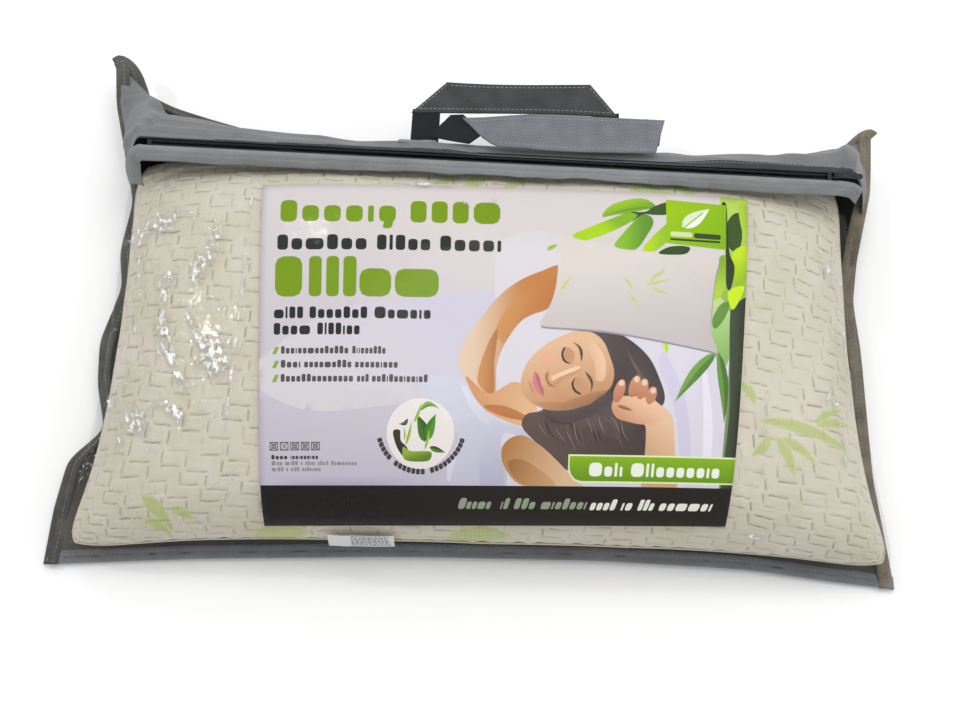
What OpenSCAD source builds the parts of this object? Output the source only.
// Bed pillow in a zipped carry bag, lying on its back panel.
// Millimetres. +X runs along the zip, +Y points to the zip and the handles, +Z is up.
// The origin is on the floor, under the middle of the bag.

/* [Bag] */
// Width of the side binding tapes
binding_w = 14; // [10:1:18]
// Thickness of a folded binding tape
binding_t = 3; // [2:0.5:4]
// Thickness of the non-woven fabric
fabric_t = 1.2; // [0.8:0.1:1.4]
// Thickness of the clear window
window_t = 0.6; // [0.4:0.1:0.8]
// How far the window stands off the pillow
window_off = 5; // [4.5:0.5:6]
// Depth of the strip between the zip and the window
strip_d = 11; // [9:1:13]

/* [Pillow] */
// Height of the pillow's crown above the floor
pillow_height = 128; // [122:1:129]
// Half the length of the pillow at its middle
pillow_half = 326; // [318:1:328]
// How far the front corners stand out past the sides
pillow_flare = 34; // [24:1:36]
// Depth of the pillow in front of its middle
pillow_front = 170; // [164:1:171]
// Depth of the pillow behind its middle
pillow_rear = 182; // [176:1:183]
// Height of the seam round the pillow
seam_z = 46; // [40:1:50]
// Thickness of the knitted cover
cover_t = 2.5; // [1.5:0.5:3]
// Thickness of the inner liner
liner_t = 1.5; // [1:0.5:2]

/* [Card] */
// Width of the card along its rear edge
card_w = 426; // [410:2:430]
// Width that the card shows along its curled front edge
card_front_w = 384; // [370:2:400]
// Depth of the card as it lies
card_d = 292; // [280:2:296]
// Thickness of the card
card_t = 0.6; // [0.3:0.1:0.8]

/* [Zip] */
// Length of the chain between its stops
zip_len = 606; // [560:2:612]
// Height of the zip above the floor
zip_z = 111; // [110:1:113]
// Slant of the zip in degrees, falling towards the right
zip_slant = -1.6; // [-2.4:0.2:-1]
// Length of the slider
slider_l = 12; // [10:1:14]
// Length of the pull tab
pull_l = 24; // [18:1:30]

/* [Handles] */
// Width of the handle straps
strap_w = 34; // [30:1:36]
// Thickness of the handle straps
strap_t = 2.4; // [1.6:0.2:3]
// How far the rear handle reaches back
rear_reach = 65; // [60:1:72]
// How far the front handle reaches back
front_reach = 29; // [27:1:31]

/* [Hidden] */

$fn = 32;
gap = 0.4;                 // running gap between neighbouring soft pieces
rest_gap = 1.4;            // gap under the pillow, above the back panel
pillow_x = 8.5;            // middle of the pillow
card_x = 24;               // middle of the card
card_rear_y = 134;         // rear edge of the card
zip_y = 161;               // zip line above the origin
chain_half_w = 2.7;        // half the width of the closed chain
chain_split = 0.5;         // half the slot that the slider's web runs in
lip_y = 4.2;               // distance of the fabric edges from the zip line
tape_w = 3.8;              // one zip tape
tape_t = 0.7;
rear_pivot = [181, 98];    // y and z of the line that the rear handle turns about
front_pivot = [172, 112];  // the same for the front handle
left_leg_x = -58;          // left legs of the handles
right_leg_x = 112;         // right legs of the handles

// Outer edge of the bag: x of the two sides along y, y of the front and rear along x, and their heights
left_x = [[-190, -375], [-140, -370], [-97, -361], [-70, -330], [-30, -340], [12, -342], [64, -326],
          [96, -331], [147, -323], [200, -335], [238, -344], [280, -347]];
left_z = [[-190, 3], [-97, 10], [-70, 15], [12, 18], [64, 20], [147, 25], [200, 33], [280, 46]];
right_x = [[-192, 376], [-150, 369], [-97, 360], [20, 352], [65, 346], [102, 350], [168, 364], [224, 366]];
right_z = [[-192, 3], [-97, 12], [20, 23], [65, 28], [168, 40], [224, 46]];
front_y = [[-375, -190], [-240, -182], [-60, -176], [115, -175], [245, -179], [325, -188], [376, -192]];
front_z = [[-375, 3], [-240, 6], [-60, 9], [115, 9], [245, 7], [376, 3]];
rear_y = [[-346, 270], [-318, 254], [-290, 242], [-212, 224], [-124, 208], [0, 202], [180, 203], [280, 207],
          [323, 214], [366, 218]];
rear_z = [[-346, 34], [-212, 16], [0, 10], [280, 14], [366, 30]];

function mix(a, b, t) = a + (b - a) * t;
function clamp01(t) = min(max(t, 0), 1);
function steps(n) = [for (i = [0 : n]) sin(90 * (2 * i / n - 1))];
function even(n) = [for (i = [0 : n]) 2 * i / n - 1];
function grid(us, vs, f) = [for (v = vs) [for (u = us) f(u, v)]];
function flat(rows) = [for (row = rows) each row];

// Closed solid between an upper and a lower grid of the same size
module between(upper, lower) {
    rows = len(upper);
    cols = len(upper[0]);
    count = rows * cols;
    quads = [for (j = [0 : rows - 2]) for (i = [0 : cols - 2])
        [j * cols + i, j * cols + i + 1, (j + 1) * cols + i + 1, (j + 1) * cols + i]];
    rim = concat(
        [for (i = [0 : cols - 1]) i],
        [for (j = [1 : rows - 1]) j * cols + cols - 1],
        [for (i = [cols - 2 : -1 : 0]) (rows - 1) * cols + i],
        [for (j = [rows - 2 : -1 : 1]) j * cols]
    );
    tops = [for (q = quads) each [[q[0], q[3], q[2]], [q[0], q[2], q[1]]]];
    bottoms = [for (q = quads) each [
        [count + q[0], count + q[1], count + q[2]],
        [count + q[0], count + q[2], count + q[3]]
    ]];
    walls = [for (k = [0 : len(rim) - 1]) let(a = rim[k], b = rim[(k + 1) % len(rim)])
        each [[a, b, count + b], [a, count + b, count + a]]];
    polyhedron(points = concat(flat(upper), flat(lower)), faces = concat(tops, bottoms, walls));
}

// Pillow: u runs along X and v along Y, both from -1 to 1, and inset shrinks it for the inner layers
function pillow_half_x(v, inset) = pillow_half - inset + pillow_flare * pow((1 - v) / 2, 4)
    - 10 * pow(abs(v), 16);
function pillow_half_y(u, v, inset) = (v < 0 ? pillow_front + 13 * pow(abs(u), 4) : pillow_rear)
    - inset - 8 * pow(abs(u), 16);
function pillow_xy(u, v, inset) = [
    pillow_x + u * pillow_half_x(v, inset),
    v * pillow_half_y(u, v, inset)
];
function crown(u, v, power) = sqrt(max(0, (1 - pow(abs(u), power)) * (1 - pow(abs(v), power))));
function edge_z(u, v) = seam_z - 14 * pow(abs(u), 3) * (v < 0 ? v * v : 0);
function pillow_top(u, v, inset) = let(p = pillow_xy(u, v, inset), z = edge_z(u, v) + gap)
    [p[0], p[1], mix(z, pillow_height - inset, crown(u, v, 3))];
function pillow_bottom(u, v, inset) = let(p = pillow_xy(u, v, inset), z = edge_z(u, v) - gap)
    [p[0], p[1], mix(z, fabric_t + rest_gap + inset, crown(u, v, 5))];
pillow_us = steps(18);
pillow_vs = steps(12);
function top_grid(inset, drop = 0) = grid(pillow_us, pillow_vs,
    function(u, v) pillow_top(u, v, inset) - [0, 0, drop]);
function bottom_grid(inset) = grid(pillow_us, pillow_vs, function(u, v) pillow_bottom(u, v, inset));
hem_drop = 0.3;             // how far the inner face of an upper panel hangs below its outer edge
liner_inset = cover_t + 1.2;
fill_inset = liner_inset + liner_t + 2.4;

// Height of the pillow's top over a point of the floor
function pillow_over(x, y) = let(
    v = y / (y < 0 ? pillow_front : pillow_rear),
    u = (x - pillow_x) / pillow_half_x(max(min(v, 1), -1), 0)
) mix(seam_z, pillow_height, crown(min(abs(u), 1), min(abs(v), 1), 3));

panel_hem = binding_w + 6;
// Bag: u from the left binding to the right, v from the front binding to the rear edge
function bag_xy(u, v) = let(
    y_side = mix(lookup(u * 350, front_y) + panel_hem, lookup(u * 350, rear_y) - panel_hem, (v + 1) / 2),
    x = mix(lookup(y_side, left_x) + panel_hem, lookup(y_side, right_x) - panel_hem, (u + 1) / 2)
) [x, mix(lookup(x, front_y) + panel_hem, lookup(x, rear_y) - panel_hem, (v + 1) / 2)];
function near(t) = pow(clamp01(1 - t / 0.16), 2);
function side_z(u, y) = u < 0 ? lookup(y, left_z) : lookup(y, right_z);
function back_panel_z(u, v, p) = max(
    side_z(u, p[1]) * near(1 - abs(u)),
    lookup(p[0], front_z) * near(1 + v),
    lookup(p[0], rear_z) * near(1 - v)
);
function back_panel(u, v, dz) = let(p = bag_xy(u, v)) [p[0], p[1], back_panel_z(u, v, p) + dz];

// Window: it stands off the pillow's top, and a skirt leads from the pillow's seam down to the bindings.
// In a row or column of the grid, "rim" stands for the sewn edge outside the pillow.
window_hem = 4;
function zip_line_y(x) = zip_y + x * tan(zip_slant);
function window_rear_v(x) = (zip_line_y(x) - lip_y - strip_d - gap) / (pillow_rear + window_off + window_t);
function window_over(u, t, out) = let(
    v = mix(-1, window_rear_v(pillow_x + u * pillow_half), t)
) pillow_top(u, v, -window_off - out);
function rim_x(y, side, out) = [
    (side < 0 ? lookup(y, left_x) : lookup(y, right_x)) - side * (window_hem - out),
    y,
    (side < 0 ? lookup(y, left_z) : lookup(y, right_z)) + binding_t + gap + out
];
function rim_y(x, out) = [
    x,
    lookup(x, front_y) + window_hem - out,
    lookup(x, front_z) + binding_t + gap + out
];
function window_row(t, us, out) = let(
    row = [for (u = us) window_over(u, t, out)],
    y_left = row[0][1],
    y_right = row[len(row) - 1][1]
) concat([rim_x(y_left, -1, out)], row, [rim_x(y_right, 1, out)]);
function window_grid(us, ts, out) = let(
    rows = [for (t = ts) window_row(t, us, out)],
    corner_y = lookup(-360, front_y) + window_hem - out,
    front = [for (p = rows[0]) rim_y(p[0], out)],
    last = len(front) - 1
) concat([[for (k = [0 : last])
    k == 0 ? rim_x(corner_y, -1, out) : k == last ? rim_x(corner_y, 1, out) : front[k]]], rows);

// Fabric that leads from the zip over the pillow's rear and down to the rear edge of the bag
gusset_x = 15;
gusset_half = 335;
end_drop = 62;
function end_fall(u) = end_drop * pow(clamp01((abs(u) - 0.93) / 0.07), 1.5);
function gusset_point(u, t, inset) = let(
    x = gusset_x + u * gusset_half,
    y0 = zip_line_y(x) + lip_y,
    y1 = lookup(x, rear_y) - 8.8,
    z1 = lookup(x, rear_z) + binding_t / 2 + inset,
    z0 = zip_z + 1 - end_fall(u) - inset
) [x, mix(y0, y1 - inset, sin(t)), mix(z1, z0, pow(cos(t), 1.15 - 0.35 * pow(abs(u), 6)))];
module gusset_sheet() {
    us = steps(24);
    angles = [0, 12, 28, 44, 60, 74, 85, 89];
    outer = grid(us, angles, function(u, t) gusset_point(u, t, 0));
    inner = grid(us, angles, function(u, t) gusset_point(u, t, fabric_t));
    between(outer, inner);
}

module bag_back_panel() {
    us = steps(18);
    vs = steps(12);
    upper = grid(us, vs, function(u, v) back_panel(u, v, fabric_t));
    lower = grid(us, vs, function(u, v) back_panel(u, v, 0));
    color("#7d8087") between(upper, lower);
}

module bag_gusset() {
    color("#8a8c92") gusset_sheet();
}

module bag_front_strip() {
    us = steps(24);
    function strip_point(u, back) = let(
        x = gusset_x + u * gusset_half,
        v = window_rear_v(x),
        u_pillow = (x - pillow_x) / pillow_half,
        over = abs(u_pillow) < 1 ? pillow_top(u_pillow, v, -window_off)[2] + gap : 0,
        z_hem = max(over, zip_z - end_drop)
    ) [x, zip_line_y(x) - lip_y - back * strip_d, back == 1 ? z_hem + fabric_t : zip_z + 1 - end_fall(u)];
    upper = [for (back = [1, 0.85, 0]) [for (u = us) strip_point(u, back)]];
    lower = [for (row = upper) [for (p = row) p - [0, 0, fabric_t]]];
    color("#94969c") between(upper, lower);
}

module bag_window() {
    us = steps(18);
    ts = [for (k = [0 : 11]) 1 - cos(90 * k / 11)];
    color("#e8ecf0", 0.35) between(window_grid(us, ts, window_t), window_grid(us, ts, 0));
}

// Tape folded over a side edge: x and z tables along y, side is -1 on the left and 1 on the right
module side_binding(x_table, z_table, side) {
    ys = [for (k = [1 : len(x_table) - 1]) each [
        x_table[k - 1][0], (x_table[k - 1][0] + x_table[k][0]) / 2
    ]];
    all_ys = concat(ys, [x_table[len(x_table) - 1][0]]);
    insets = side < 0 ? [0, binding_w - gap] : [binding_w - gap, 0];
    upper = [for (y = all_ys) [for (d = insets)
        [lookup(y, x_table) - side * d, y, lookup(y, z_table) + binding_t]]];
    lower = [for (row = upper) [for (p = row) p - [0, 0, binding_t]]];
    color("#4a4b4e") between(upper, lower);
}

module bag_binding_left() {
    side_binding(left_x, left_z, -1);
}

module bag_binding_right() {
    side_binding(right_x, right_z, 1);
}

module end_binding(y_table, z_table, width, direction, x_from, x_to) {
    xs = [for (k = [0 : 20]) mix(x_from, x_to, k / 20)];
    insets = direction > 0 ? [width, 0] : [0, width];
    upper = [for (d = insets) [for (x = xs)
        [x, lookup(x, y_table) - direction * d, lookup(x, z_table) + binding_t]]];
    lower = [for (row = upper) [for (p = row) p - [0, 0, binding_t]]];
    color("#5c5e62") between(upper, lower);
}

module bag_binding_front() {
    end_binding(front_y, front_z, binding_w - gap, -1, -359, 357);
}

module bag_binding_rear() {
    end_binding(rear_y, rear_z, 8 - gap, 1, -328, 350);
}

// Everything on the zip is drawn along X from the middle of the chain
module on_zip() {
    translate([gusset_x, zip_line_y(gusset_x), zip_z]) rotate([0, 0, zip_slant]) children();
}

module zip_tape(side) {
    y0 = side > 0 ? chain_half_w + gap : -chain_half_w - gap - tape_w;
    color("#17181a") on_zip() translate([-zip_len / 2 - 6, y0, -tape_t - 1.4])
        cube([zip_len + 12, tape_w, tape_t]);
}

module zip_tape_front() {
    zip_tape(-1);
}

module zip_tape_rear() {
    zip_tape(1);
}

module zip_coil(side) {
    w = chain_half_w - chain_split;
    y0 = side > 0 ? chain_split : -chain_half_w;
    color("#202124") on_zip() translate([-zip_len / 2, y0, -2.2]) cube([zip_len, w, 2]);
}

module zip_coil_front() {
    zip_coil(-1);
}

module zip_coil_rear() {
    zip_coil(1);
}

module zip_stops() {
    color("#3a3b3e") on_zip() {
        for (side = [-1, 1])
            translate([zip_len / 2 + 0.1, side > 0 ? chain_split : -chain_half_w, -2.4])
                cube([3, chain_half_w - chain_split, 2.6]);
        translate([-zip_len / 2 - 4.1, -chain_half_w, -2.4]) cube([4, 2 * chain_half_w, 2.6]);
    }
}

// Slider: two plates joined by a thin web that runs between the coils, and a bail for the pull
slider_w = 7;
slider_x = zip_len / 2 - slider_l / 2 - 0.4;
plate_t = 1;
bail_r = 1.6;
pull_pivot_z = 4.2;
module slider_body(length, width, height_up, height_down) {
    translate([-length / 2, -width / 2, height_up - plate_t]) cube([length, width, plate_t]);
    translate([-length / 2, -width / 2, -height_down]) cube([length, width, plate_t]);
    translate([-length / 2, -0.2, -height_down]) cube([4, 0.4, height_up + height_down]);
}

module zip_slider() {
    color("#26272a") on_zip() translate([slider_x, 0, 0]) {
        slider_body(slider_l, slider_w, 1.4, 3.6);
        for (side = [-1, 1])
            translate([-2.5, side * 2.3 - 0.5, 0.4]) cube([5, 1, pull_pivot_z + 0.6]);
        translate([0, 2.8, pull_pivot_z]) rotate([90, 0, 0]) cylinder(h = 5.6, r = 0.8);
    }
}

module pull_shape(length, width) {
    difference() {
        union() {
            rotate([90, 0, 0]) translate([0, 0, -width / 2]) cylinder(h = width, r = bail_r);
            translate([0, -width / 2, -0.6]) cube([4, width, 1.2]);
            translate([3, -2.4, -0.6]) cube([length - 5.4, 4.8, 1.2]);
            translate([length - 2.4, 0, -0.6]) cylinder(h = 1.2, r = 2.4);
        }
        rotate([90, 0, 0]) translate([0, 0, -width]) cylinder(h = 2 * width, r = 0.86);
        translate([length - 4, 0, -2]) cylinder(h = 4, r = 1);
    }
}

module zip_pull() {
    color("#2a2b2e") on_zip() translate([slider_x, 0, pull_pivot_z]) pull_shape(pull_l, 3);
}

// Strap laid flat along a list of plan points: a polygon of strap material
module strap_piece(points) {
    linear_extrude(height = strap_t) polygon(points);
}

// Rear handle: two legs and a grip with folded corners, drawn from the pivot line backwards
module rear_handle() {
    lx = left_leg_x - 4;
    rx = right_leg_x + 12;
    leg = 24;
    near_y = rear_reach - strap_w;
    color("#3d3e42") translate([0, rear_pivot[0], rear_pivot[1] - 3]) rotate([-3, 0, 0]) {
        strap_piece([[lx, 2], [lx + leg, 2], [lx + leg, near_y + 1], [lx, near_y + 1]]);
        strap_piece([[rx - leg, 2], [rx, 2], [rx, near_y + 1], [rx - leg, near_y + 1]]);
        strap_piece([[lx, near_y], [rx, near_y], [rx - 25, rear_reach], [lx + 31, rear_reach]]);
    }
}

// Front handle: a diagonal leg on the left, and the grip, whose right end folds down to the bag
module front_handle() {
    near_y = front_reach - strap_w + 4;
    color("#85878d") translate([0, front_pivot[0], front_pivot[1]]) {
        strap_piece([[-43, 12], [-13, 6], [3, 12], [-14, front_reach], [-25, front_reach - 1]]);
        strap_piece([[10, near_y], [160, near_y], [162, front_reach], [-16, front_reach]]);
        translate([156, 9, -3]) cube([strap_t, front_reach - 11, 3 + strap_t]);
    }
}

// Slit tabs on the gusset that the rear handle comes out of
module handle_tabs() {
    color("#9a9ca2") {
        for (tab = [[left_leg_x - 14, 175], [right_leg_x - 16, 170]])
            translate([tab[0], tab[1], 109.6]) rotate([-52, 0, 0]) cube([34, 8, 1.4]);
    }
}

// Card: lies on the pillow, narrower at the front where its corners curl down
module card_insert() {
    us = even(20);
    vs = [for (k = [0 : 20]) -cos(90 * k / 20)];
    function card_point(u, v, dz) = let(
        t = (1 - v) / 2,
        half = mix(card_w, card_front_w, t) / 2,
        x = card_x + u * half - 3 * t * t,
        y = card_rear_y - t * card_d + u * 4 * t
    ) [x, y, pillow_over(x, y) + 1.5 + dz];
    upper = grid(us, vs, function(u, v) card_point(u, v, card_t));
    lower = grid(us, vs, function(u, v) card_point(u, v, 0));
    color("#dcd8e0") between(upper, lower);
}

module cover_top() {
    color("#d9d2c6") between(top_grid(0), top_grid(cover_t, hem_drop));
}

module cover_bottom() {
    color("#d3ccc0") between(bottom_grid(cover_t), bottom_grid(0));
}

module liner_top() {
    color("#f0efeb") between(top_grid(liner_inset), top_grid(liner_inset + liner_t, hem_drop));
}

module liner_bottom() {
    color("#f0efeb") between(bottom_grid(liner_inset + liner_t), bottom_grid(liner_inset));
}

module foam_fill() {
    color("#e9dfb8") between(top_grid(fill_inset), bottom_grid(fill_inset));
}

// Overlocked seam: a thin welt round the front and the two sides of the cover
module cover_seam() {
    function rim(u, v, out, dz) = let(p = pillow_xy(u, v, -out)) [p[0], p[1], edge_z(u, v) + dz];
    path = concat(
        [for (k = [11 : -1 : 1]) [-1, pillow_vs[k]]],
        [for (k = [0 : 18]) [pillow_us[k], -1]],
        [for (k = [1 : 11]) [1, pillow_vs[k]]]
    );
    upper = [for (out = [1.8, 0.5]) [for (p = path) rim(p[0], p[1], out, 0.9)]];
    lower = [for (out = [1.8, 0.5]) [for (p = path) rim(p[0], p[1], out, -0.9)]];
    color("#cfc8bb") between(upper, lower);
}

// Folded satin label in the front seam, pressed up against the pillow
module care_label() {
    label_x = -119;
    label_w = 56;
    y0 = -pillow_front - 3.2;
    color("#f2f1ee") translate([label_x, y0, seam_z + 2]) rotate([-12, 0, 0]) cube([label_w, 1, 20]);
}

// Zip of the cover, in the rear seam, drawn along X from its middle
cover_zip_len = 460;
cover_zip_y = pillow_rear + 1.2;
module on_cover_zip() {
    translate([pillow_x, cover_zip_y, seam_z]) rotate([-90, 0, 0]) children();
}

module cover_zip_tapes() {
    color("#e4dfd4") on_cover_zip() {
        for (side = [-1, 1])
            translate([-cover_zip_len / 2, side > 0 ? 2.6 : -9.6, 0]) cube([cover_zip_len, 7, 0.6]);
    }
}

module cover_zip_coil() {
    color("#eeeae0") on_cover_zip() {
        for (side = [-1, 1])
            translate([-cover_zip_len / 2, side > 0 ? 0.5 : -2.3, 0]) cube([cover_zip_len, 1.8, 1.6]);
    }
}

cover_slider_x = cover_zip_len / 2 - 6;
module cover_zip_slider() {
    color("#dcd7ca") on_cover_zip() translate([cover_slider_x, 0, 2.2]) {
        translate([-5, -3, 0]) cube([10, 6, 1]);
        translate([-5, -0.2, -1.8]) cube([3, 0.4, 2]);
        for (side = [-1, 1])
            translate([-2, side * 2.2 - 0.4, 0.8]) cube([4, 0.8, 2.4]);
        translate([0, 2.6, 2.6]) rotate([90, 0, 0]) cylinder(h = 5.2, r = 0.6);
    }
}

module cover_zip_pull() {
    color("#dcd7ca") on_cover_zip() translate([cover_slider_x, 0, 4.8]) rotate([0, 0, 180])
        pull_shape(16, 3);
}

bag_back_panel();
bag_gusset();
bag_front_strip();
bag_window();
bag_binding_left();
bag_binding_right();
bag_binding_front();
bag_binding_rear();
zip_tape_front();
zip_tape_rear();
zip_coil_front();
zip_coil_rear();
zip_stops();
zip_slider();
zip_pull();
front_handle();
rear_handle();
handle_tabs();
card_insert();
cover_top();
cover_bottom();
cover_seam();
care_label();
cover_zip_tapes();
cover_zip_coil();
cover_zip_slider();
cover_zip_pull();
liner_top();
liner_bottom();
foam_fill();
